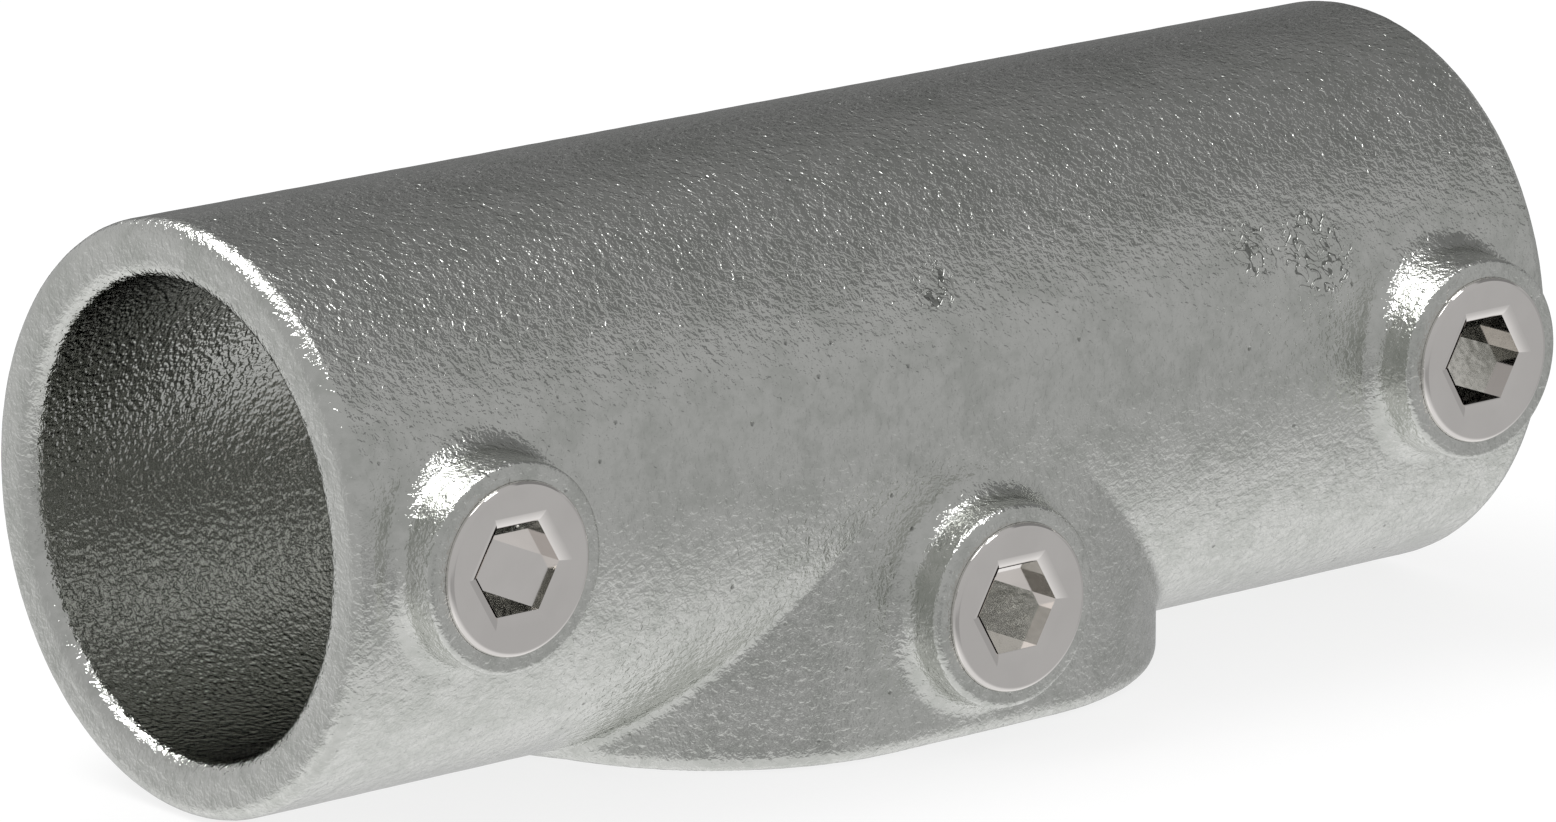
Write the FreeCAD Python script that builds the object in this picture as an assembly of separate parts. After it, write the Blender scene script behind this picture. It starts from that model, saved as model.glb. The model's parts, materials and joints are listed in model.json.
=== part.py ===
import FreeCAD, Part
import math
import os

from FreeCAD import Vector

# Tube clamp tee fitting for a handrail or frame of plain tube, in millimetres.
# One malleable iron casting holds a rail in its long sleeve and an upright in the
# collar below it. Three set screws in tapped bosses clamp the tubes. The collar's
# mouth is longer than the tube is wide, so that the upright can lean along the rail.
#
# Frame: the origin is where the rail's centre line crosses the upright's.
# +X runs along the rail, -Y points towards the set screws and +Z points up.
# The fitting stands on the flat face round the collar's mouth.

# Tube that the fitting grips, and the room round it
tube_radius = 21.2
rail_clearance = 0.6
upright_clearance = 0.4

# Sleeve round the rail
sleeve_length = 143.5
sleeve_wall = 5.5
rim_round_outside = 1.8
rim_round_inside = 1.3

# Collar round the upright
collar_inset = 0.1
mouth_half_shift = 9.3
mouth_proud = 0.05
lean_angle = 11.0
collar_edge_round = 2.0
mouth_edge_round = 1.2

# Bosses that carry the set screws
boss_face_radius = 9.6
boss_rise = 4.6
boss_draft = 2.5
boss_root_round = 1.6
boss_edge_round = 0.4
end_boss_inset = 13.55
middle_boss_lift = 13.55

# Set screws, with plain flanks where the thread is
thread_radius = 8.0
thread_clearance = 0.08
screw_stand_out = 0.6
tip_setback = 0.05
screw_edge_round = 0.3
tip_bevel = 0.8

# Six-sided key socket, which runs right through each screw
key_sides = 6
key_width = 8.0
key_mouth_width = 10.0
key_mouth_depth = 0.4

# How far a cutting tool reaches past the face that it opens
overcut = 1.0

# Sizes that follow from the ones above
bore_radius = tube_radius + rail_clearance
sleeve_radius = bore_radius + sleeve_wall
half_length = sleeve_length / 2
collar_radius = sleeve_radius - collar_inset
cavity_radius = tube_radius + upright_clearance
mouth_z = -(sleeve_radius + mouth_proud)
boss_face_y = -(sleeve_radius + boss_rise)
screw_radius = thread_radius - thread_clearance
screw_face_y = boss_face_y - screw_stand_out
screw_tip_y = -(bore_radius + tip_setback)
end_boss_x = half_length - end_boss_inset
middle_boss_z = mouth_z + middle_boss_lift

# Centre of each screw along X and Z, by the name of its screw
screw_places = {
    "left_set_screw": (-end_boss_x, 0.0),
    "upright_set_screw": (0.0, middle_boss_z),
    "right_set_screw": (end_boss_x, 0.0),
}

X_AXIS = Vector(1, 0, 0)
Y_AXIS = Vector(0, 1, 0)
ORIGIN = Vector(0, 0, 0)
FULL_TURN = 360
MATCH = 1e-4


def quarter_arc(start, end, centre):
    """A quarter circle from start to end round centre, bulging away from it."""
    radius = (start - centre).Length
    outward = (start - centre) + (end - centre)
    outward.normalize()
    return Part.Arc(start, centre + outward * radius, end).toShape()


def line(start, end):
    """A straight edge."""
    return Part.LineSegment(start, end).toShape()


def turned(edges, centre, axis):
    """The solid that a closed outline sweeps as it turns round an axis."""
    face = Part.Face(Part.Wire(edges))
    solid = face.revolve(centre, axis, FULL_TURN)
    return Part.makeSolid(solid) if solid.ShapeType == "Shell" else solid


def sleeve_outside():
    """The sleeve as a solid bar whose rims are rounded."""
    inner_x = half_length - rim_round_outside
    flat_radius = sleeve_radius - rim_round_outside
    left_rim = Vector(-half_length, flat_radius, 0)
    left_crown = Vector(-inner_x, sleeve_radius, 0)
    right_crown = Vector(inner_x, sleeve_radius, 0)
    right_rim = Vector(half_length, flat_radius, 0)
    left_centre = Vector(-half_length, 0, 0)
    right_centre = Vector(half_length, 0, 0)
    edges = [
        line(left_centre, left_rim),
        quarter_arc(left_rim, left_crown, Vector(-inner_x, flat_radius, 0)),
        line(left_crown, right_crown),
        quarter_arc(right_crown, right_rim, Vector(inner_x, flat_radius, 0)),
        line(right_rim, right_centre),
        line(right_centre, left_centre),
    ]
    return turned(edges, ORIGIN, X_AXIS)


def rail_space():
    """What the rail's bore takes out of the sleeve, flared round at both rims."""
    inner_x = half_length - rim_round_inside
    outer_x = half_length + overcut
    flare = bore_radius + rim_round_inside
    left_end = Vector(-outer_x, 0, 0)
    left_corner = Vector(-outer_x, flare, 0)
    left_rim = Vector(-half_length, flare, 0)
    left_wall = Vector(-inner_x, bore_radius, 0)
    right_wall = Vector(inner_x, bore_radius, 0)
    right_rim = Vector(half_length, flare, 0)
    right_corner = Vector(outer_x, flare, 0)
    right_end = Vector(outer_x, 0, 0)
    edges = [
        line(left_end, left_corner),
        line(left_corner, left_rim),
        quarter_arc(left_rim, left_wall, Vector(-inner_x, flare, 0)),
        line(left_wall, right_wall),
        quarter_arc(right_wall, right_rim, Vector(inner_x, flare, 0)),
        line(right_rim, right_corner),
        line(right_corner, right_end),
        line(right_end, left_end),
    ]
    return turned(edges, ORIGIN, X_AXIS)


def long_round(radius, half_shift, z):
    """A flat outline at height z: two half circles joined by straight sides along X."""
    left_back = Vector(-half_shift, radius, z)
    right_back = Vector(half_shift, radius, z)
    right_front = Vector(half_shift, -radius, z)
    left_front = Vector(-half_shift, -radius, z)
    right_end = Vector(half_shift + radius, 0, z)
    left_end = Vector(-half_shift - radius, 0, z)
    return Part.Wire([
        line(left_back, right_back),
        Part.Arc(right_back, right_end, right_front).toShape(),
        line(right_front, left_front),
        Part.Arc(left_front, left_end, left_back).toShape(),
    ])


def collar_outside():
    """The collar as a solid block, from the rail's centre line down to its mouth."""
    outline = long_round(collar_radius, mouth_half_shift, mouth_z)
    block = Part.Face(outline).extrude(Vector(0, 0, -mouth_z))
    rim = [edge for edge in block.Edges if edge.BoundBox.ZMax < mouth_z + MATCH]
    return block.makeFillet(collar_edge_round, rim)


def upright_space():
    """What the upright takes out: round in front and behind, with leaning ends."""
    slope = math.tan(math.radians(lean_angle))
    low_z = mouth_z - overcut
    low_shift = mouth_half_shift + overcut * slope
    high_shift = mouth_half_shift + mouth_z * slope
    low = long_round(cavity_radius, low_shift, low_z)
    high = long_round(cavity_radius, high_shift, 0)
    return Part.makeLoft([low, high], True, True)


def boss_outside(x, z):
    """One boss: a slightly tapered stub from inside the wall out to its face."""
    length = -boss_face_y - bore_radius
    root_radius = boss_face_radius + length * math.tan(math.radians(boss_draft))
    return Part.makeCone(root_radius, boss_face_radius, length, Vector(x, -bore_radius, z), -Y_AXIS)


def is_boss_flank(face):
    """Whether a face is the tapered side of a boss."""
    return isinstance(face.Surface, Part.Cone)


def boss_root_edges(shape):
    """The edges where the bosses' tapered sides meet the sleeve and the collar."""
    roots = []
    for face in shape.Faces:
        if not is_boss_flank(face):
            continue
        for edge in face.Edges:
            at_face = edge.BoundBox.YMax < boss_face_y + MATCH
            is_seam = isinstance(edge.Curve, Part.Line)
            if not at_face and not is_seam:
                roots.append(edge)
    return roots


def boss_face_edges(shape):
    """The round outer edges of the bosses' flat faces."""
    return [edge for edge in shape.Edges if edge.BoundBox.YMax < boss_face_y + MATCH]


def mouth_edges(shape):
    """The inner edges of the collar's flat mouth face."""
    reach_y = (collar_radius - collar_edge_round + cavity_radius) / 2
    return [
        edge for edge in shape.Edges
        if edge.BoundBox.ZMax < mouth_z + MATCH and edge.BoundBox.YMax < reach_y
        and edge.BoundBox.YMin > -reach_y
    ]


def clamp_body():
    """The casting: its outside with the bosses blended in, then every opening."""
    body = sleeve_outside().fuse(collar_outside())
    for x, z in screw_places.values():
        body = body.fuse(boss_outside(x, z))
    body = body.removeSplitter()
    body = body.makeFillet(boss_root_round, boss_root_edges(body))
    body = body.makeFillet(boss_edge_round, boss_face_edges(body))
    body = body.cut(rail_space()).cut(upright_space())
    body = body.makeFillet(mouth_edge_round, mouth_edges(body))
    for x, z in screw_places.values():
        reach = overcut - boss_face_y
        hole = Part.makeCylinder(thread_radius, reach, Vector(x, boss_face_y - overcut, z), Y_AXIS)
        body = body.cut(hole)
    return body


def hexagon(width, x, y, z):
    """A six-sided outline at depth y, with corners to the left and right."""
    corner = width / 2 / math.cos(math.pi / key_sides)
    points = []
    for step in range(key_sides):
        angle = math.radians(FULL_TURN * step / key_sides)
        points.append(Vector(x + corner * math.cos(angle), y, z + corner * math.sin(angle)))
    return Part.makePolygon(points + points[:1])


def key_space(x, z):
    """The six-sided hole through a screw, with a sloped lead-in at its mouth."""
    narrow_y = screw_face_y + key_mouth_depth
    length = screw_tip_y - screw_face_y + 2 * overcut
    shaft = Part.Face(hexagon(key_width, x, screw_face_y - overcut, z)).extrude(Y_AXIS * length)
    slope = (key_mouth_width - key_width) / key_mouth_depth
    wide = hexagon(key_mouth_width + slope * overcut, x, screw_face_y - overcut, z)
    narrow = hexagon(key_width, x, narrow_y, z)
    return shaft.fuse(Part.makeLoft([wide, narrow], True, True))


def set_screw(x, z):
    """One set screw, turned on its own axis, with its key socket cut through."""
    def at(radius, y):
        """A point of the turned outline."""
        return Vector(x + radius, y, z)

    edge_y = screw_face_y + screw_edge_round
    face_radius = screw_radius - screw_edge_round
    edges = [
        line(at(0, screw_face_y), at(face_radius, screw_face_y)),
        quarter_arc(at(face_radius, screw_face_y), at(screw_radius, edge_y), at(face_radius, edge_y)),
        line(at(screw_radius, edge_y), at(screw_radius, screw_tip_y - tip_bevel)),
        line(at(screw_radius, screw_tip_y - tip_bevel), at(screw_radius - tip_bevel, screw_tip_y)),
        line(at(screw_radius - tip_bevel, screw_tip_y), at(0, screw_tip_y)),
        line(at(0, screw_tip_y), at(0, screw_face_y)),
    ]
    blank = turned(edges, Vector(x, 0, z), Y_AXIS)
    return blank.cut(key_space(x, z))


def main():
    """Builds every piece and writes it to its own file."""
    os.makedirs("parts", exist_ok=True)
    pieces = {"clamp_body": clamp_body()}
    for name, (x, z) in screw_places.items():
        pieces[name] = set_screw(x, z)
    for name, shape in pieces.items():
        solid = shape.Solids[0]
        solid.exportStep(os.path.join("parts", name + ".step"))
        print(name, "valid", solid.isValid(), "solids", len(shape.Solids), "volume", round(solid.Volume, 1))


main()
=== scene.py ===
"""Dresses the tube clamp tee fitting: one hot-dip galvanised casting and three set screws.

Sizes are in millimetres, apart from names that end in _m, and every finished mesh is in
metres. +X runs along the rail, -Y points towards the screws and +Z points up.
"""

import json
import logging
import math
from dataclasses import dataclass
from enum import Enum
from functools import partial
from itertools import product
from typing import Any, Callable, Iterable

import bmesh
import bpy
import numpy as np
from bmesh.types import BMesh
from bpy.types import Material, Mesh, Node, NodeSocket, NodeTree, Object
from mathutils import Matrix, Vector

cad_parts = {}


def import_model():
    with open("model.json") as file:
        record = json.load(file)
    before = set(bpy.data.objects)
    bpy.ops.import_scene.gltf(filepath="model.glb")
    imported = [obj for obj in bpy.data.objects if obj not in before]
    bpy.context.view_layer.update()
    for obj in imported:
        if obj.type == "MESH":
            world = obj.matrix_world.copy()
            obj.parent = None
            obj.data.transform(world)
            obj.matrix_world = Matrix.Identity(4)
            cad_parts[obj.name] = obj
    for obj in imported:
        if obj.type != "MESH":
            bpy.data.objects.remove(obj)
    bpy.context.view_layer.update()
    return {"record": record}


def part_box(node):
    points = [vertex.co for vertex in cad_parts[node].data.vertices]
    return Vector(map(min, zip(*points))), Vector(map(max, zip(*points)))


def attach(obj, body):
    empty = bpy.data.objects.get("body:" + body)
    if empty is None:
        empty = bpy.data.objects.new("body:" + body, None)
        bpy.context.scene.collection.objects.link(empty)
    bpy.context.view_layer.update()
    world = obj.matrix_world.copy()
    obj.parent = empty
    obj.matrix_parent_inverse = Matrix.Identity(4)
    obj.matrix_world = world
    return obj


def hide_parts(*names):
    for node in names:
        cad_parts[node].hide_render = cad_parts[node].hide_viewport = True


MM = 0.001
# A difference too small to see, in millimetres or in a part of a unit normal
HAIR = 0.01
PHOTO_WIDTH = 1556
CAD_BODY = "clamp_body"
CASTING = "casting"
Distance = Callable[[np.ndarray], np.ndarray]
# Centre and reach of each spot on the sleeve where the zinc didn't take, in millimetres
SCARS = ((-2.3, -22.7, 15.1, 2.8), (36.2, -24.0, 12.8, 3.2), (43.5, -24.7, 11.6, 4.6))

log = logging.getLogger("tee_fitting")


class Winding(Enum):
    """Which side of the metal a thread is cut in."""

    SCREW = "screw"
    HOLE = "hole"


# Helpers for node trees


def linear(hex_colour: str) -> tuple[float, float, float, float]:
    """Turns an sRGB colour into the linear one that shaders take.

    Args:
        hex_colour: Six hexadecimal digits.

    Returns:
        Linear red, green and blue, with an alpha of 1.
    """
    shares = [int(hex_colour[i:i + 2], 16) / 255 for i in (0, 2, 4)]
    r, g, b = (s / 12.92 if s <= 0.04045 else ((s + 0.055) / 1.055) ** 2.4 for s in shares)
    return (r, g, b, 1.0)


def add(
    tree: NodeTree, kind: str, inputs: dict[int | str, Any] | None = None, **settings: Any,
) -> Node:
    """Adds one node with its settings, values and links.

    Args:
        tree: The tree.
        kind: The node's type.
        inputs: A value or another node's output for each input, by name or number.
        **settings: The node's own properties.

    Returns:
        The new node.
    """
    node = tree.nodes.new(kind)
    for name, value in settings.items():
        setattr(node, name, value)
    for key, value in (inputs or {}).items():
        socket = node.inputs[key]
        if isinstance(value, NodeSocket):
            tree.links.new(value, socket)
        else:
            socket.default_value = value
    return node


def math_node(tree: NodeTree, operation: str, *values: Any) -> NodeSocket:
    """Adds one step of arithmetic and returns its result."""
    return add(tree, "ShaderNodeMath", dict(enumerate(values)), operation=operation).outputs[0]


def vector_math(tree: NodeTree, operation: str, *values: Any) -> Any:
    """Adds one step of vector arithmetic and returns its outputs."""
    return add(tree, "ShaderNodeVectorMath", dict(enumerate(values)), operation=operation).outputs


def fading(tree: NodeTree, value: Any, first: float, last: float, **settings: Any) -> NodeSocket:
    """1 where a value is below the first level, 0 where it is above the last one."""
    return add(tree, "ShaderNodeMapRange", {
        0: value, 1: first, 2: last, 3: 1.0, 4: 0.0}, **settings).outputs[0]


def noise(
    tree: NodeTree, place: NodeSocket, size_mm: float, detail: float, grain: float = 0.5, twist: float = 0.0,
) -> NodeSocket:
    """Adds a noise.

    Args:
        tree: The tree.
        place: Where the shaded point is.
        size_mm: About how large its features are.
        detail: How many finer layers it has.
        grain: How strong the finer layers are.
        twist: How far it is bent.

    Returns:
        The noise's value.
    """
    return add(tree, "ShaderNodeTexNoise", {
        "Vector": place, "Scale": 1 / (size_mm * MM), "Detail": detail, "Roughness": grain,
        "Distortion": twist,
    }).outputs[0]


def end_in_metal(tree: NodeTree, inputs: dict[str, Any]) -> None:
    """Ends a material's tree in a metal with those inputs."""
    shader = add(tree, "ShaderNodeBsdfPrincipled", {"Metallic": 1.0, **inputs})
    add(tree, "ShaderNodeOutputMaterial", {0: shader.outputs[0]})


def ramp(node: Node, stops: Iterable[tuple[float, str]], blend: str = "EASE") -> None:
    """Sets a colour ramp's stops.

    Args:
        node: The colour ramp node.
        stops: Place and sRGB colour of each stop, in order.
        blend: How the ramp runs from stop to stop.
    """
    band = node.color_ramp
    band.interpolation = blend
    while len(band.elements) > 1:
        band.elements.remove(band.elements[-1])
    for number, (place, colour) in enumerate(stops):
        stop = band.elements[0] if number == 0 else band.elements.new(place)
        stop.position = place
        stop.color = linear(colour)


def new_material(name: str) -> tuple[Material, NodeTree]:
    """Makes an empty node material.

    Args:
        name: The material's name.

    Returns:
        The material and its tree.
    """
    material = bpy.data.materials.new(name)
    material.use_nodes = True
    material.node_tree.nodes.clear()
    return material, material.node_tree


# Helpers for meshes


def new_object(name: str, mesh: Mesh) -> Object:
    """Puts a mesh in the scene as an object at the origin.

    Args:
        name: The object's name.
        mesh: Its mesh.

    Returns:
        The object.
    """
    obj = bpy.data.objects.new(name, mesh)
    bpy.context.scene.collection.objects.link(obj)
    return obj


def mesh_of(name: str, vertices: np.ndarray, faces: Any) -> Mesh:
    """Makes a mesh.

    Args:
        name: The mesh's name.
        vertices: Its points, in millimetres.
        faces: The numbers of each face's points.

    Returns:
        The mesh.
    """
    mesh = bpy.data.meshes.new(name)
    mesh.from_pydata(np.asarray(vertices) * MM, [], faces)
    mesh.update()
    return mesh


def finished(obj: Object) -> None:
    """Gives an object its evaluated mesh as a plain one, and drops its modifiers.

    Args:
        obj: The object.
    """
    bpy.context.view_layer.update()
    shown = obj.evaluated_get(bpy.context.evaluated_depsgraph_get())
    mesh = bpy.data.meshes.new_from_object(shown)
    obj.modifiers.clear()
    obj.data = mesh


def run_tree(obj: Object, tree: NodeTree, values: dict[str, Any]) -> None:
    """Runs a geometry tree on an object with its named inputs set.

    Args:
        obj: The object whose mesh the tree changes.
        tree: The geometry tree.
        values: A value for each named input.
    """
    modifier = obj.modifiers.new(tree.name, "NODES")
    modifier.node_group = tree
    for socket in tree.interface.items_tree:
        if socket.in_out == "INPUT" and socket.name in values:
            modifier[socket.identifier] = values[socket.name]
    finished(obj)


def geometry_tree(name: str, inputs: Iterable[tuple[str, str]]) -> tuple[NodeTree, Node, Node]:
    """An empty geometry tree with named inputs.

    Args:
        name: The tree's name.
        inputs: Name and socket type of each input after the geometry.

    Returns:
        The tree, its group input and its group output.
    """
    tree = bpy.data.node_groups.new(name, "GeometryNodeTree")
    tree.interface.new_socket("Geometry", in_out="INPUT", socket_type="NodeSocketGeometry")
    for label, kind in inputs:
        tree.interface.new_socket(label, in_out="INPUT", socket_type=kind)
    tree.interface.new_socket("Geometry", in_out="OUTPUT", socket_type="NodeSocketGeometry")
    return tree, tree.nodes.new("NodeGroupInput"), tree.nodes.new("NodeGroupOutput")


def end_tree(tree: NodeTree, geometry: NodeSocket, material: NodeSocket, output: Node) -> None:
    """Ends a geometry tree in Realize Instances and Set Material.

    Args:
        tree: The tree.
        geometry: What it has made.
        material: What that is made of.
        output: The tree's group output.
    """
    real = add(tree, "GeometryNodeRealizeInstances", {0: geometry})
    dressed = add(tree, "GeometryNodeSetMaterial", {"Geometry": real.outputs[0], "Material": material})
    tree.links.new(dressed.outputs[0], output.inputs[0])


def quarter_round(radius: float, edge: float) -> list[tuple[float, float]]:
    """The rounded edge of a turned form's outline, from its flat front to its flank."""
    angles = [math.radians(15 * step) for step in range(7)]
    return [(radius - edge * (1 - math.sin(a)), edge * (1 - math.cos(a))) for a in angles]


def turned(outline: list[tuple[float, float]], sides: int, first: float = 0.0) -> BMesh:
    """Turns an outline round the +Y axis into a closed form, in millimetres.

    Args:
        outline: Radius and height of each corner, from one end of the axis to the other.
        sides: How many sides make up the round.
        first: Where the first corner lies, from +Z towards +X, in radians.

    Returns:
        The form.
    """
    form = bmesh.new()
    turns = [first + math.tau * n / sides for n in range(sides)]
    rings = []
    for away, deep in outline:
        if away == 0.0:
            rings.append([form.verts.new((0, deep, 0))])
        else:
            rings.append([
                form.verts.new((away * math.sin(t), deep, away * math.cos(t))) for t in turns])
    for upper, lower in zip(rings, rings[1:]):
        for n in range(sides):
            corners = [upper[n % len(upper)], upper[(n + 1) % len(upper)],
                       lower[(n + 1) % len(lower)], lower[n % len(lower)]]
            form.faces.new(list(dict.fromkeys(corners)))
    return form


def placed(name: str, form: BMesh, spot: tuple[float, float, float], material: Material) -> Object:
    """Moves a form from its own axis to its place and dresses it.

    Args:
        name: The object's name.
        form: The form, in millimetres, which is used up.
        spot: Where its origin goes, in millimetres.
        material: What it is made of.

    Returns:
        The object.
    """
    bmesh.ops.recalc_face_normals(form, faces=form.faces[:])
    mesh = bpy.data.meshes.new(name)
    form.to_mesh(mesh)
    form.free()
    mesh.transform(Matrix.Scale(MM, 4) @ Matrix.Translation(spot))
    mesh.materials.append(material)
    return new_object(name, mesh)


def fetched(items: Any, name: str, width: int = 1, kind: type = float) -> np.ndarray:
    """Reads one property of many items.

    Args:
        items: The collection of items.
        name: The property's name.
        width: How many numbers it has.
        kind: What its numbers are.

    Returns:
        A row for each item, or a number where it has just one.
    """
    values = np.empty(len(items) * width, kind)
    items.foreach_get(name, values)
    return values.reshape(-1, width) if width > 1 else values


def read_corners(mesh: Mesh) -> tuple[np.ndarray, np.ndarray, np.ndarray, np.ndarray]:
    """Reads what shading needs from a mesh.

    Args:
        mesh: The mesh.

    Returns:
        Each vertex's place in millimetres, then for each corner of a face its vertex number,
        the way its face points and the number of its face's material.
    """
    corners = fetched(mesh.loops, "vertex_index", kind=np.int32)
    total = fetched(mesh.polygons, "loop_total", kind=np.int32)
    kind = fetched(mesh.polygons, "material_index", kind=np.int32)
    own = fetched(mesh.polygons, "normal", 3)
    places = fetched(mesh.vertices, "co", 3) / MM
    return places, corners, np.repeat(own, total, axis=0), np.repeat(kind, total)


# Helpers for forms given by distance


def rounded_corner(a: np.ndarray, b: np.ndarray, radius: float) -> np.ndarray:
    """Distance to what is behind two walls at once, with their edge rounded.

    Args:
        a: Distance in front of one wall.
        b: Distance in front of the other.
        radius: The edge's radius.

    Returns:
        Distance, negative inside.
    """
    out_a, out_b = a + radius, b + radius
    outside = np.hypot(np.maximum(out_a, 0), np.maximum(out_b, 0))
    return outside + np.minimum(np.maximum(out_a, out_b), 0) - radius


def filleted(a: np.ndarray, b: np.ndarray, radius: float) -> np.ndarray:
    """Distance to two solids joined with a hollow fillet of that radius."""
    inner = np.hypot(np.maximum(radius - a, 0), np.maximum(radius - b, 0))
    return np.maximum(radius, np.minimum(a, b)) - inner


def melted(a: np.ndarray, b: np.ndarray, reach: np.ndarray) -> np.ndarray:
    """Distance to two solids joined with a soft crease.

    Args:
        a: Distance to one solid.
        b: Distance to the other.
        reach: How far the crease reaches, which may vary from point to point.

    Returns:
        Distance, negative inside.
    """
    reach = np.maximum(reach, 1e-4)
    share = np.maximum(reach - np.abs(a - b), 0) / reach
    return np.minimum(a, b) - share * share * reach / 4


def net_round(
    distance: Distance, low: np.ndarray, high: np.ndarray, step: float,
) -> tuple[np.ndarray, np.ndarray]:
    """Wraps a net of quads round a form that is given by distance.

    Every cell of a grid that the surface crosses holds one point, and every edge of the
    grid that it crosses joins four cells with a quad.

    Args:
        distance: Distance to the form at many points, negative inside.
        low: Lowest corner of the space to search.
        high: Highest corner.
        step: Width of a cell.

    Returns:
        Points, and the four point numbers of each quad, which faces outwards.
    """
    axes = [np.arange(a - step, b + 2 * step, step) for a, b in zip(low, high)]
    grid = np.stack(np.meshgrid(*axes, indexing="ij"), -1)
    inside = distance(grid) < 0
    count = np.zeros([n - 1 for n in inside.shape], np.int8)
    nx, ny, nz = count.shape
    for dx, dy, dz in product((0, 1), repeat=3):
        count += inside[dx:dx + nx, dy:dy + ny, dz:dz + nz]
    crossed = (count > 0) & (count < 8)
    number = np.full(count.shape, -1)
    number[crossed] = np.arange(crossed.sum())
    start = np.array([axis[0] for axis in axes])
    points = start + (np.argwhere(crossed) + 0.5) * step
    quads = []
    for axis in range(3):
        u, v = (axis + 1) % 3, (axis + 2) % 3
        here = np.moveaxis(inside, axis, 0)
        change = np.moveaxis(here[:-1] != here[1:], 0, axis)
        edges = np.argwhere(change)
        ring = []
        for du, dv in ((0, 0), (-1, 0), (-1, -1), (0, -1)):
            cell = edges.copy()
            cell[:, u] += du
            cell[:, v] += dv
            ring.append(number[tuple(cell.T)])
        ring = np.stack(ring, 1)
        backwards = ~inside[tuple(edges.T)]
        ring[backwards] = ring[backwards][:, ::-1]
        quads.append(ring)
    return points, np.concatenate(quads)


def slope_of(distance: Distance, points: np.ndarray) -> np.ndarray:
    """Finds the way in which distance grows.

    Args:
        distance: Distance to the form.
        points: Where it is wanted.

    Returns:
        The direction at each point, as long as the rate.
    """
    reach = 0.01
    slopes = []
    for axis in range(3):
        shift = np.zeros(3)
        shift[axis] = reach
        slopes.append((distance(points + shift) - distance(points - shift)) / (2 * reach))
    return np.stack(slopes, -1)


def settled(distance: Distance, points: np.ndarray, quads: np.ndarray) -> np.ndarray:
    """Slides a net's points onto the surface and evens out its quads.

    Args:
        distance: Distance to the form.
        points: The net's points.
        quads: Its faces.

    Returns:
        The points in their new places.
    """
    steps, passes, least_rate = 3, 3, 0.25

    def onto(spots: np.ndarray) -> np.ndarray:
        """Steps down the slope until the points lie on the surface.

        Args:
            spots: The points.

        Returns:
            The points in their new places.
        """
        for _ in range(steps):
            slope = slope_of(distance, spots)
            rate = np.maximum((slope * slope).sum(-1), least_rate)
            spots = spots - slope * (distance(spots) / rate)[:, None]
        return spots

    points = onto(points)
    number = len(points)
    for _ in range(passes):
        total = np.zeros_like(points)
        joined = np.zeros(number)
        for corner in range(4):
            here = quads[:, corner]
            for other in (quads[:, corner - 1], quads[:, (corner + 1) % 4]):
                joined += np.bincount(here, minlength=number)
                for axis in range(3):
                    total[:, axis] += np.bincount(here, points[other, axis], number)
        points = onto(total / joined[:, None])
    return points


# Finishes


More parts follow.
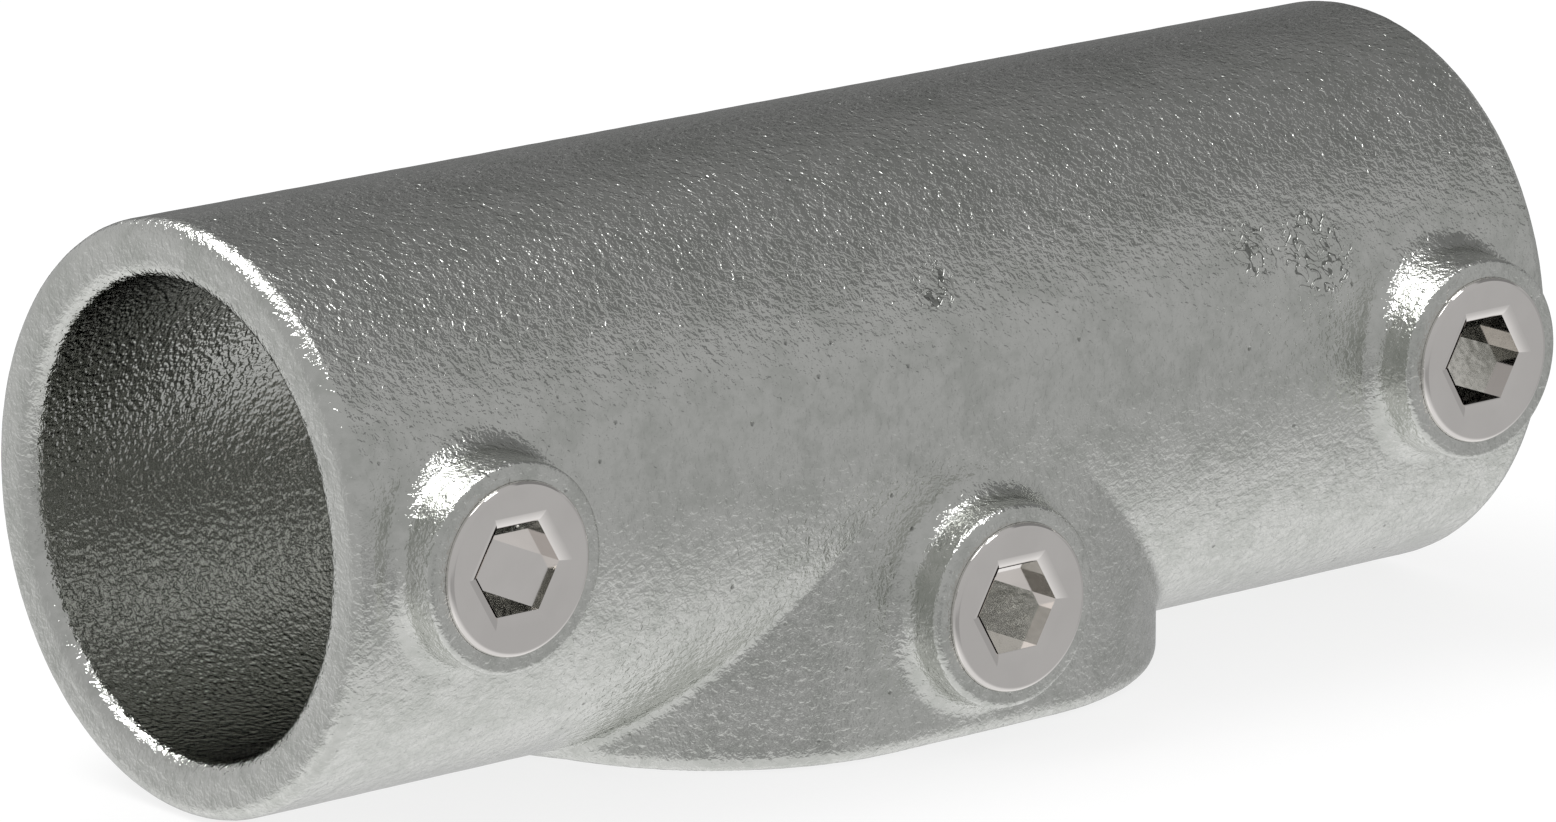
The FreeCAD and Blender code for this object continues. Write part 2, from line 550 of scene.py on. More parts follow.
@dataclass(frozen=True)
class GalvanisedIron:
    """Hot-dip galvanised malleable iron.

    The zinc runs over the sand casting's skin, so it shines softly over fine ripples and
    pinholes, with cloudy patches where it cooled at different rates.
    """

    name: str = "hot_dip_galvanised_iron"
    zinc: str = "DFE0DC"
    dull_zinc: str = "CFD1CC"
    pinhole: str = "5E605C"
    # Darker zinc colour inside the bores: painted shade in the tubes
    bore_shade_zinc: str = "C8C9C5"
    scar: str = "6F716D"
    roughness: float = 0.08
    core_roughness: float = 0.04
    cloud_mm: float = 5.0
    fleck_mm: float = 1.1
    ripple_mm: float = 0.75
    grit_mm: float = 0.28
    pinhole_mm: float = 2.6
    depth_mm: float = 0.19
    core_radius_mm: float = 22.0
    core_end_mm: float = 70.15
    core_shift_mm: float = 9.3
    core_ripple_mm: float = 0.55
    core_depth: float = 0.95
    core_blend_mm: float = 0.15
    rim_blend_mm: float = 0.1
    scar_line_mm: float = 1.5
    scar_line_levels: tuple[float, float] = (0.018, 0.035)
    scar_colour_share: float = 0.8
    scar_depth: float = 0.6
    tone_levels: tuple[float, float] = (0.42, 0.72)
    cloud_share: float = 0.75
    fleck_share: float = 0.45
    grit_share: float = 0.27
    grain: float = 0.55
    haze: float = 0.06
    pinhole_levels: tuple[float, float] = (0.04, 0.10)
    cells_without_pinhole: float = 0.7
    pinhole_colour_share: float = 0.5
    pinhole_depth: float = 0.5
    scar_spots_mm: tuple[tuple[float, float, float, float], ...] = SCARS

    def material(self) -> Material:
        """Builds the material.

        Returns:
            The material.
        """
        material, tree = new_material(self.name)
        calc = partial(math_node, tree)
        place = add(tree, "ShaderNodeTexCoord").outputs["Object"]

        waves = partial(noise, tree, place, grain=self.grain)
        cloud = waves(self.cloud_mm, 3.0, twist=0.6)
        patch = calc("MULTIPLY", cloud, self.cloud_share)
        patch = calc("MULTIPLY_ADD", waves(self.fleck_mm, 2.0), self.fleck_share, patch)
        tone = add(tree, "ShaderNodeValToRGB", {0: patch})
        ramp(tone, zip(self.tone_levels, (self.dull_zinc, self.zinc)))

        cells = add(tree, "ShaderNodeTexVoronoi", {
            "Vector": place, "Scale": 1 / (self.pinhole_mm * MM), "Randomness": 1.0,
        }).outputs
        lot = add(tree, "ShaderNodeSeparateColor", {0: cells["Color"]}).outputs[0]
        hole = calc(
            "MULTIPLY", fading(tree, cells["Distance"], *self.pinhole_levels),
            calc("GREATER_THAN", lot, self.cells_without_pinhole))
        scar = self.scars(tree, place, waves(self.scar_line_mm, 1.0, twist=1.0))
        inside = self.within_tubes(tree, place)
        colour = tone.outputs[0]
        for share, other in (
            (calc("MULTIPLY", hole, self.pinhole_colour_share), self.pinhole),
            (calc("MULTIPLY", scar, self.scar_colour_share), self.scar),
            # Painted shade: the walls inside the bores take a darker zinc colour
            (inside, self.bore_shade_zinc),
        ):
            colour = add(tree, "ShaderNodeMix", {
                0: share, 6: colour, 7: linear(other)}, data_type="RGBA").outputs[2]

        ripple = waves(self.ripple_mm, 2.0, twist=0.5)
        skin = calc("MULTIPLY_ADD", waves(self.grit_mm, 1.0), self.grit_share, ripple)
        skin = calc("MULTIPLY_ADD", hole, -self.pinhole_depth, skin)
        skin = calc("MULTIPLY_ADD", scar, -self.scar_depth, skin)
        core = calc("MULTIPLY", waves(self.core_ripple_mm, 1.0), self.core_depth)
        height = add(tree, "ShaderNodeMix", {0: inside, 2: skin, 3: core}).outputs[0]
        bump = add(tree, "ShaderNodeBump", {
            "Height": height, "Strength": 1.0, "Distance": self.depth_mm * MM,
        })
        dull = calc("MULTIPLY_ADD", cloud, self.haze, self.roughness - self.haze / 2)
        dull = add(tree, "ShaderNodeMix", {0: inside, 2: dull, 3: self.core_roughness}).outputs[0]
        end_in_metal(tree, {"Base Color": colour, "Roughness": dull, "Normal": bump.outputs[0]})
        return material

    def within_tubes(self, tree: NodeTree, place: NodeSocket) -> NodeSocket:
        """Marks the walls that the sand cores left round the rail and the upright.

        Args:
            tree: The material's tree.
            place: Where the shaded point is.

        Returns:
            1 on those walls, 0 outside.
        """
        calc = partial(math_node, tree)
        x, y, z = add(tree, "ShaderNodeSeparateXYZ", {0: place}).outputs
        off_middle = calc("ABSOLUTE", x)
        past = calc("SUBTRACT", off_middle, self.core_shift_mm * MM)
        past = calc("MAXIMUM", past, 0.0)
        # Above the rail's centre line the upright's core ends, so its distance grows there
        above = calc("MAXIMUM", z, 0.0)

        def short_of(value: NodeSocket, end_mm: float, blend_mm: float) -> NodeSocket:
            """1 where a length is below an end, 0 above it, with a narrow blend."""
            return fading(tree, value, (end_mm - blend_mm) * MM, (end_mm + blend_mm) * MM)

        shares = []
        for sides in ((y, z, 0.0), (past, y, above)):
            corner = add(tree, "ShaderNodeCombineXYZ", dict(enumerate(sides))).outputs[0]
            radius = vector_math(tree, "LENGTH", corner)["Value"]
            shares.append(short_of(radius, self.core_radius_mm, self.core_blend_mm))
        # The rims' rounds have the outer skin
        short_of_rim = short_of(off_middle, self.core_end_mm, self.rim_blend_mm)
        return calc("MULTIPLY", short_of_rim, calc("MAXIMUM", *shares))

    def scars(self, tree: NodeTree, place: NodeSocket, wander: NodeSocket) -> NodeSocket:
        """Wandering lines in a few spots where the zinc didn't take.

        Args:
            tree: The material's tree.
            place: Where the shaded point is.
            wander: A noise whose middle value the lines follow.

        Returns:
            1 on a line, 0 off it.
        """
        calc = partial(math_node, tree)
        near = 0.0
        for x, y, z, reach in self.scar_spots_mm:
            away = vector_math(tree, "DISTANCE", place, (x * MM, y * MM, z * MM))["Value"]
            near = calc("MAXIMUM", near, fading(tree, away, (reach - 1) * MM, reach * MM))
        off_line = calc("ABSOLUTE", calc("SUBTRACT", wander, 0.5))
        return calc("MULTIPLY", near, fading(tree, off_line, *self.scar_line_levels))


@dataclass(frozen=True)
class TappedIron:
    """Iron cut by a tap after galvanising: bare, finely torn and faintly oiled."""

    name: str = "tapped_iron"
    colour: str = "8E8C88"
    roughness: float = 0.34
    tear_mm: float = 0.25
    tear_depth_mm: float = 0.02
    tear_strength: float = 0.5

    def material(self) -> Material:
        """Builds the material.

        Returns:
            The material.
        """
        material, tree = new_material(self.name)
        place = add(tree, "ShaderNodeTexCoord").outputs["Object"]
        bump = add(tree, "ShaderNodeBump", {
            "Height": noise(tree, place, self.tear_mm, 2.0), "Strength": self.tear_strength,
            "Distance": self.tear_depth_mm * MM,
        })
        end_in_metal(tree, {
            "Base Color": linear(self.colour), "Roughness": self.roughness, "Normal": bump.outputs[0],
        })
        return material


@dataclass(frozen=True)
class PlatedSteel:
    """Plated steel of the set screws: turned, tumbled and nearly mirror smooth.

    It keeps a warm grey that hardly varies, with only a breath of unevenness.
    """

    name: str = "plated_steel"
    colour: str = "F6F2EF"
    shade: str = "F2EEEB"
    roughness: float = 0.045
    haze: float = 0.03
    cloud_mm: float = 5.0
    tone_levels: tuple[float, float] = (0.35, 0.65)

    def material(self) -> Material:
        """Builds the material.

        Returns:
            The material.
        """
        material, tree = new_material(self.name)
        place = add(tree, "ShaderNodeTexCoord").outputs["Object"]
        cloud = noise(tree, place, self.cloud_mm, 3.0)
        tone = add(tree, "ShaderNodeValToRGB", {0: cloud})
        ramp(tone, zip(self.tone_levels, (self.shade, self.colour)))
        dull = math_node(tree, "MULTIPLY_ADD", cloud, self.haze, self.roughness - self.haze / 2)
        end_in_metal(tree, {"Base Color": tone.outputs[0], "Roughness": dull})
        return material


# Screw threads


@dataclass(frozen=True)
class Thread:
    """A 16 mm fine thread, right-handed, whose screw and hole keep a small gap."""

    pitch: float = 1.5
    depth: float = 0.92
    hole_gap: float = 0.08
    segments: int = 72
    rows_per_turn: int = 8
    fade: float = 0.7
    flat: float = 1 / 16

    def tree(self) -> NodeTree:
        """Builds the geometry tree of a threaded bar along +Y, closed at both ends.

        Returns:
            The tree.
        """
        real = "NodeSocketFloat"
        tree, group_in, group_out = geometry_tree("screw_thread", [
            ("Radius", real), ("Plain Radius", real), ("Pitch", real), ("Depth", real), ("Length", real),
            ("Plain Length", real), ("Fade", real), ("Segments", "NodeSocketInt"),
            ("Rows Per Turn", "NodeSocketInt"), ("Material", "NodeSocketMaterial"),
        ])
        calc = partial(math_node, tree)
        given = group_in.outputs
        pitch, length, per_turn = given["Pitch"], given["Length"], given["Rows Per Turn"]
        row = calc("DIVIDE", pitch, per_turn)
        turns = calc("ADD", calc("DIVIDE", length, pitch), 3.0)
        rows = calc("CEIL", calc("MULTIPLY", turns, per_turn))
        sheet = add(tree, "GeometryNodeMeshGrid", {
            "Size X": 1.0, "Size Y": 1.0, "Vertices X": calc("ADD", given["Segments"], 1.0),
            "Vertices Y": calc("ADD", rows, 1.0),
        })
        spot = add(tree, "GeometryNodeInputPosition").outputs[0]
        x, y, _ = add(tree, "ShaderNodeSeparateXYZ", {0: spot}).outputs
        turn = calc("ADD", x, 0.5)
        level = calc("ROUND", calc("MULTIPLY", calc("ADD", y, 0.5), rows))
        # The first rows start two turns early, so that the slanted rows cover the whole end
        early = calc("MULTIPLY", per_turn, 2.0)
        raw = calc("MULTIPLY", calc("SUBTRACT", level, early), row)
        raw = calc("ADD", calc("ADD", raw, calc("MULTIPLY", row, 0.5)), calc("MULTIPLY", turn, pitch))
        along = calc("MINIMUM", calc("MAXIMUM", raw, 0.0), length)
        wave = calc("PINGPONG", calc("SUBTRACT", calc("DIVIDE", along, pitch), turn), 0.5)
        bite = add(tree, "ShaderNodeMapRange", {
            0: wave, 1: self.flat, 2: 0.5 - self.flat, 3: 0.0, 4: 1.0}).outputs[0]
        plain = given["Plain Length"]
        begun = add(tree, "ShaderNodeMapRange", {
            0: along, 1: plain, 2: calc("ADD", plain, given["Fade"]), 3: 0.0, 4: 1.0}).outputs[0]
        cut = calc("SUBTRACT", given["Radius"], calc("MULTIPLY", bite, given["Depth"]))
        gain = calc("SUBTRACT", cut, given["Plain Radius"])
        radius = calc("MULTIPLY_ADD", gain, begun, given["Plain Radius"])
        # Rows more than one row past an end fold in to the axis and close it
        before = calc("LESS_THAN", raw, calc("MULTIPLY", row, -1.0))
        after = calc("GREATER_THAN", raw, calc("ADD", length, row))
        kept = calc("SUBTRACT", 1.0, calc("MAXIMUM", before, after))
        radius = calc("MULTIPLY", radius, kept)
        angle = calc("MULTIPLY", turn, math.tau)
        wrapped = add(tree, "ShaderNodeCombineXYZ", {
            0: calc("MULTIPLY", radius, calc("SINE", angle)), 1: along,
            2: calc("MULTIPLY", radius, calc("COSINE", angle)),
        })
        bent = add(tree, "GeometryNodeSetPosition", {
            "Geometry": sheet.outputs[0], "Position": wrapped.outputs[0],
        })
        closed = add(tree, "GeometryNodeMergeByDistance", {
            "Geometry": bent.outputs[0], "Distance": 1e-6})
        end_tree(tree, closed.outputs[0], given["Material"], group_out)
        return tree

    def bar(
        self,
        winding: Winding,
        radius: float,
        plain_radius: float,
        length: float,
        plain: float,
        start: Vector,
        material: Material,
    ) -> Object:
        """Makes a threaded bar that starts at a point and runs along +Y.

        Args:
            winding: Whether it is the screw's thread or cuts the hole's.
            radius: Outer radius, over the screw's crests or the hole's roots.
            plain_radius: Radius of the plain stretch at its start.
            length: Length along the axis.
            plain: Length of the plain stretch at its start.
            start: The axis's first point, in millimetres.
            material: What it is made of, or what it leaves where it cuts.

        Returns:
            The bar, a closed mesh.
        """
        bar = new_object("thread", bpy.data.meshes.new("thread"))
        depth = self.depth if winding is Winding.SCREW else self.depth - self.hole_gap
        run_tree(bar, self.tree(), {
            "Radius": radius * MM, "Plain Radius": plain_radius * MM, "Pitch": self.pitch * MM,
            "Depth": depth * MM, "Length": length * MM, "Plain Length": plain * MM,
            "Fade": self.fade * MM, "Segments": self.segments, "Rows Per Turn": self.rows_per_turn,
            "Material": material,
        })
        form = bmesh.new()
        form.from_mesh(bar.data)
        bmesh.ops.dissolve_degenerate(form, dist=1e-4 * MM, edges=form.edges[:])
        bmesh.ops.recalc_face_normals(form, faces=form.faces[:])
        form.to_mesh(bar.data)
        form.free()
        bar.data.transform(Matrix.Translation(start * MM))
        return bar


def cut_with(obj: Object, tools: list[Object], operation: str) -> None:
    """Cuts an object with closed meshes, which are then removed.

    Args:
        obj: The object to cut.
        tools: The closed meshes.
        operation: DIFFERENCE, INTERSECT or UNION.
    """
    for tool in tools:
        modifier = obj.modifiers.new(tool.name, "BOOLEAN")
        modifier.object = tool
        modifier.operation = operation
        modifier.solver = "MANIFOLD"
        modifier.material_mode = "TRANSFER"
    finished(obj)
    for tool in tools:
        bpy.data.objects.remove(tool)


# Pieces of the fitting


@dataclass
class CastBody:
    """The casting: a sleeve for the rail, a collar for the upright and three bosses."""

    sleeve_radius: float
    half_length: float
    bore_radius: float
    mouth_z: float
    boss_face_y: float
    screw_places: list[tuple[float, float]]
    thread: Thread
    rim_outside: float = 1.8
    rim_inside: float = 1.6
    rim_flare: float = 2.0
    collar_radius: float = 27.2
    mouth_half_shift: float = 9.3
    cavity_radius: float = 21.6
    lean_angle: float = 11.0
    collar_edge: float = 2.0
    mouth_edge: float = 1.2
    crease: float = 1.7
    boss_radius: float = 9.6
    boss_draft: float = 2.5
    boss_root: float = 1.6
    collar_boss_root: float = 2.0
    boss_edge: float = 0.5
    collar_boss_edge: float = 0.7
    front_depth: float = 1.4
    front_length: float = 6.9
    front_proud: float = 0.03
    front_inset: float = 0.3
    front_rows: int = 12
    front_sides: int = 120
    hole_radius: float = 8.0
    plain_hole_radius: float = 7.94
    plain_hole: float = 3.3
    tap_end_share: float = 0.8
    cell: float = 0.5
    quick_cell: float = 0.9
    share_kept: float = 0.31
    relief_depth: float = 0.10
    relief_fine: float = 2.2
    relief_broad: float = 7.0
    least_match: float = 0.7

    def outside(self, p: np.ndarray, short_bosses: bool) -> np.ndarray:
        """Distance to the casting's outer form, with no opening cut.

        Args:
            p: Points, in millimetres.
            short_bosses: Whether the bosses stop short of their faces.

        Returns:
            The distance at each point.
        """
        x, y, z = p[..., 0], p[..., 1], p[..., 2]
        around = np.hypot(y, z)
        past_end = np.abs(x) - self.half_length
        sleeve = rounded_corner(past_end, around - self.sleeve_radius, self.rim_outside)
        along = np.maximum(np.abs(x) - self.mouth_half_shift, 0)
        from_post = np.hypot(along, y)
        collar = rounded_corner(from_post - self.collar_radius, self.mouth_z - z, self.collar_edge)
        collar = np.maximum(collar, z)
        # The two surfaces lie along each other in front, where the crease dies out
        agreement = y * y / np.maximum(around * from_post, 1e-6)
        form = melted(sleeve, collar, self.crease * (1 - np.clip(agreement, 0, 1)))
        draft = math.radians(self.boss_draft)
        for centre_x, centre_z in self.screw_places:
            off = np.hypot(x - centre_x, z - centre_z)
            wide = self.boss_radius + (y - self.boss_face_y) * math.tan(draft)
            flank = (off - wide) * math.cos(draft)
            if short_bosses:
                boss = np.maximum(flank, self.boss_face_y + self.front_depth - y)
            else:
                boss = rounded_corner(flank, self.boss_face_y - y, self.edge_of(centre_z))
            # The stub ends well inside the bore, which cuts it off
            boss = np.maximum(boss, y + self.bore_radius / 2)
            form = filleted(form, boss, self.collar_boss_root if centre_z < 0 else self.boss_root)
        return form

    def edge_of(self, z: float) -> float:
        """How far the front edge of the boss at that height is rounded."""
        return self.collar_boss_edge if z < 0 else self.boss_edge

    def distance(self, p: np.ndarray, short_bosses: bool = False) -> np.ndarray:
        """Distance to the casting before its screw holes are cut, negative in the metal.

        Args:
            p: Points, in millimetres.
            short_bosses: Whether the bosses stop short, where their turned fronts take over.

        Returns:
            The distance at each point.
        """
        x, y, z = p[..., 0], p[..., 1], p[..., 2]
        # Squeezed along the radius, which makes the rim's round wider than it is deep
        squeeze = self.rim_inside / self.rim_flare
        rail_wall = rounded_corner(
            np.abs(x) - self.half_length, (self.bore_radius - np.hypot(y, z)) * squeeze, self.rim_inside)
        slope = math.tan(math.radians(self.lean_angle))
        shift = self.mouth_half_shift + (self.mouth_z - z) * slope
        cavity = np.hypot(np.maximum(np.abs(x) - shift, 0), y) - self.cavity_radius
        cavity = np.maximum(cavity, z)
        post_wall = rounded_corner(self.mouth_z - z, -cavity, self.mouth_edge)
        return np.maximum(np.maximum(self.outside(p, short_bosses), rail_wall), post_wall)

    def relief_tree(self) -> NodeTree:
        """Builds the geometry tree of the sand casting's uneven skin, which only sinks in.

        Returns:
            The tree.
        """
        real = "NodeSocketFloat"
        tree, group_in, group_out = geometry_tree("cast_relief", [
            ("Fine Size", real), ("Broad Size", real), ("Depth", real), ("Material", "NodeSocketMaterial"),
        ])
        calc = partial(math_node, tree)
        given = group_in.outputs
        place = add(tree, "GeometryNodeInputPosition").outputs[0]
        waves = []
        for size in ("Fine Size", "Broad Size"):
            scale = calc("DIVIDE", 1.0, given[size])
            waves.append(add(tree, "ShaderNodeTexNoise", {
                "Vector": place, "Scale": scale, "Detail": 1.0}).outputs[0])
        mixed = calc("MULTIPLY_ADD", waves[0], 0.5, calc("MULTIPLY", waves[1], 0.5))
        sunk = calc("MULTIPLY", calc("MULTIPLY", mixed, given["Depth"]), -1.0)
        way = add(tree, "ShaderNodeVectorMath", {
            0: add(tree, "GeometryNodeInputNormal").outputs[0], "Scale": sunk,
        }, operation="SCALE")
        moved = add(tree, "GeometryNodeSetPosition", {
            "Geometry": given["Geometry"], "Offset": way.outputs[0],
        })
        end_tree(tree, moved.outputs[0], given["Material"], group_out)
        return tree

    def boss_front(self, x: float, z: float, zinc: Material) -> Object:
        """Turns the front of one boss: face, rounded edge and tapered flank.

        Args:
            x: Where its axis lies along the rail.
            z: Its axis's height.
            zinc: The galvanised finish.

        Returns:
            The front, a closed mesh.
        """
        reach = self.boss_radius + self.front_proud
        edge = self.edge_of(z)
        outline = [(0.0, 0.0), (reach - edge - self.front_inset, 0.0), *quarter_round(reach, edge)]
        for step in range(1, self.front_rows + 1):
            deep = edge + (self.front_length - edge) * step / self.front_rows
            outline.append((reach + deep * math.tan(math.radians(self.boss_draft)), deep))
        outline.append((0.0, self.front_length))
        form = turned(outline, self.front_sides)
        return placed("boss_front", form, (x, self.boss_face_y, z), zinc)

    def true_normals(self, mesh: Mesh) -> None:
        """Shades the cast skin by its exact form and the cut threads by their own faces.

        Args:
            mesh: The casting's mesh.
        """
        places, corners, own, kind = read_corners(mesh)
        slopes = slope_of(self.distance, places)
        slopes /= np.maximum(np.linalg.norm(slopes, axis=1, keepdims=True), 1e-9)
        shade = slopes[corners]
        use_own = (kind != 0) | ((shade * own).sum(1) < self.least_match)
        shade[use_own] = own[use_own]
        mesh.normals_split_custom_set(shade)

    def build(self, zinc: Material, bare: Material) -> Object:
        """Makes the casting's skin and puts it in place of the plain solid.

        Args:
            zinc: The galvanised finish.
            bare: The finish of the cut threads.

        Returns:
            The finished piece.
        """
        low = np.array([-self.half_length, self.boss_face_y, self.mouth_z])
        high = np.array([self.half_length, self.sleeve_radius, self.sleeve_radius])
        cell = self.cell
        core = partial(self.distance, short_bosses=True)
        points, quads = net_round(core, low, high, cell)
        points = settled(core, points, quads)
        skin = new_object("cast_body", mesh_of("cast_body", points, quads))
        fronts = [self.boss_front(x, z, zinc) for x, z in self.screw_places]
        relief = self.relief_tree()
        for part in [skin] + fronts:
            run_tree(part, relief, {
                "Fine Size": self.relief_fine * MM, "Broad Size": self.relief_broad * MM,
                "Depth": self.relief_depth * MM, "Material": zinc,
            })
        thin = skin.modifiers.new("thin", "DECIMATE")
        thin.ratio = self.share_kept
        finished(skin)
        cut_with(skin, fronts, "UNION")
        taps = []
        pitch = self.thread.pitch
        for x, z in self.screw_places:
            start = Vector((x, self.boss_face_y - pitch, z))
            length = pitch - self.boss_face_y - self.bore_radius * self.tap_end_share
            taps.append(self.thread.bar(
                Winding.HOLE, self.hole_radius, self.plain_hole_radius, length,
                self.plain_hole + pitch, start, bare))
        cut_with(skin, taps, "DIFFERENCE")
        self.true_normals(skin.data)
        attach(skin, CASTING)
        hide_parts(CAD_BODY)
        return skin


@dataclass
class SetScrew:
    """A set screw with a six-sided key socket right through it."""

    spot: str
    x: float
    z: float
    radius: float
    face_y: float
    tip_y: float
    thread: Thread
    edge_round: float = 0.58
    tip_bevel: float = 0.8
    key_width: float = 8.0
    key_mouth_width: float = 10.0
    key_mouth_depth: float = 0.48
    key_mouth_slope: float = 13.0
    plain_length: float = 0.8
    sides: int = 96
    sharp_angle: float = 24.0

    def blank(self, material: Material) -> Object:
        """Turns the screw's outside: flat face, rounded edge, plain flank and bevelled tip.

        Args:
            material: The screw's finish.

        Returns:
            The blank, a closed mesh.
        """
        length = self.tip_y - self.face_y
        outline = [(0.0, 0.0), *quarter_round(self.radius, self.edge_round)]
        outline += [(self.radius, length - self.tip_bevel), (self.radius - self.tip_bevel, length)]
        outline.append((0.0, length))
        form = turned(outline, self.sides)
        return placed("blank", form, (self.x, self.face_y, self.z), material)

    def flare(self) -> tuple[float, float, float]:
        """The curve that leads from the screw's face into its socket.

        Returns:
            Its slope at the face and at the socket, in radians, and its radius.
        """
        width = (self.key_mouth_width - self.key_width) / 2
        first = math.radians(self.key_mouth_slope)
        last = 2 * math.atan2(self.key_mouth_depth, width) - first
        return first, last, width / (math.sin(last) - math.sin(first))

    def true_normals(self, mesh: Mesh) -> None:
        """Shades the face, its rounded rim and the socket by their exact form.

        Args:
            mesh: The screw's mesh.
        """
        places, corners, own, _ = read_corners(mesh)
        spots = places[corners] - np.array((self.x, self.face_y, self.z))
        deep, across = spots[:, 1], spots[:, (0, 2)]
        away = np.linalg.norm(across, axis=1)
        shade = fetched(mesh.corner_normals, "vector", 3)
        # All corners of the key's hexagonal mouth lie within this distance of the axis
        mouth_reach = self.key_mouth_width * 0.6
        straight = 0.9995

        def turn(rows: np.ndarray, outward: np.ndarray, share: np.ndarray) -> None:
            """Shades some corners by how far they turn from the face towards a side.

            Args:
                rows: The corners' numbers.
                outward: The side that each turns to, along X and Z.
                share: The sine of the angle that each turns by.
            """
            share = np.clip(share, 0, 1)
            shade[rows, 0] = outward[:, 0] * share
            shade[rows, 1] = -np.sqrt(1 - share * share)
            shade[rows, 2] = outward[:, 1] * share

        wall = (np.abs(own[:, 1]) < HAIR) & (away < mouth_reach)
        shade[wall] = own[wall]
        flat = (own[:, 1] < -straight) & (deep < HAIR)
        shade[flat] = (0, -1, 0)
        open_side = (own[:, 1] < -HAIR) & ~flat
        edge = self.edge_round
        rim = np.flatnonzero(open_side & (away > self.radius - edge - HAIR) & (deep < edge + HAIR))
        turn(rim, across[rim] / away[rim, None], (away[rim] - self.radius + edge) / edge)
        lead = np.flatnonzero(open_side & (away < mouth_reach) & (deep < self.key_mouth_depth + HAIR))
        inward = own[lead][:, (0, 2)]
        inward /= np.maximum(np.linalg.norm(inward, axis=1, keepdims=True), 1e-9)
        first, _, radius = self.flare()
        turn(lead, inward, np.sqrt(1 - np.clip(math.cos(first) - deep[lead] / radius, 0, 1) ** 2))
        mesh.normals_split_custom_set(shade)

    def key(self, material: Material) -> Object:
        """Makes the key's space: a hexagon whose mouth flares out in a hollow curve.

        Args:
            material: The screw's finish.

        Returns:
            The space, a closed mesh.
        """
        half, wide = self.key_width / 2, self.key_mouth_width / 2
        sides, over, gap, steps = 6, 1.0, 0.002, 6
        first, last, radius = self.flare()
        end = self.tip_y - self.face_y + over
        sections = [(0.0, -over), (wide + HAIR, -over), (wide + HAIR, -gap)]
        for step in range(1, steps + 1):
            slope = first + (last - first) * step / steps
            sections.append((
                wide - radius * (math.sin(slope) - math.sin(first)),
                radius * (math.cos(first) - math.cos(slope)),
            ))
        sections += [(half, end), (0.0, end)]
        corners = [(across / math.cos(math.pi / sides), deep) for across, deep in sections]
        form = turned(corners, sides, math.pi / 2)
        return placed("key", form, (self.x, self.face_y, self.z), material)

    def build(self, steel: Material, boss_face_y: float) -> Object:
        """Makes the screw with its thread and puts it in place of the plain solid.

        Args:
            steel: The screw's finish.
            boss_face_y: Where the hole's thread starts counting its turns.

        Returns:
            The finished piece.
        """
        screw = self.blank(steel)
        start = Vector((self.x, boss_face_y - self.thread.pitch, self.z))
        plain = self.face_y + self.plain_length - start.y
        length = self.tip_y - start.y + self.thread.pitch
        # The bar's plain stretch is a hair wider, so that only the blank shapes it
        bar = self.thread.bar(
            Winding.SCREW, self.radius, self.radius + HAIR, length, plain, start, steel)
        cut_with(screw, [bar], "INTERSECT")
        cut_with(screw, [self.key(steel)], "DIFFERENCE")
        screw.name = screw.data.name = f"{self.spot}_threaded_screw"
        screw.data.shade_smooth()
        screw.data.set_sharp_from_angle(angle=math.radians(self.sharp_angle))
        self.true_normals(screw.data)
        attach(screw, f"{self.spot}_screw")
        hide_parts(f"{self.spot}_set_screw")
        return screw


# Studio


@dataclass(frozen=True)
class Card:
    """A card or lamp as the fitting sees it: where, how wide and high, in degrees.

    The strength is how much more or less light it gives than the tent behind it.
    """

    azimuth: float
    elevation: float
    half_width: float
    half_height: float
    soft_edge: float
    strength: float


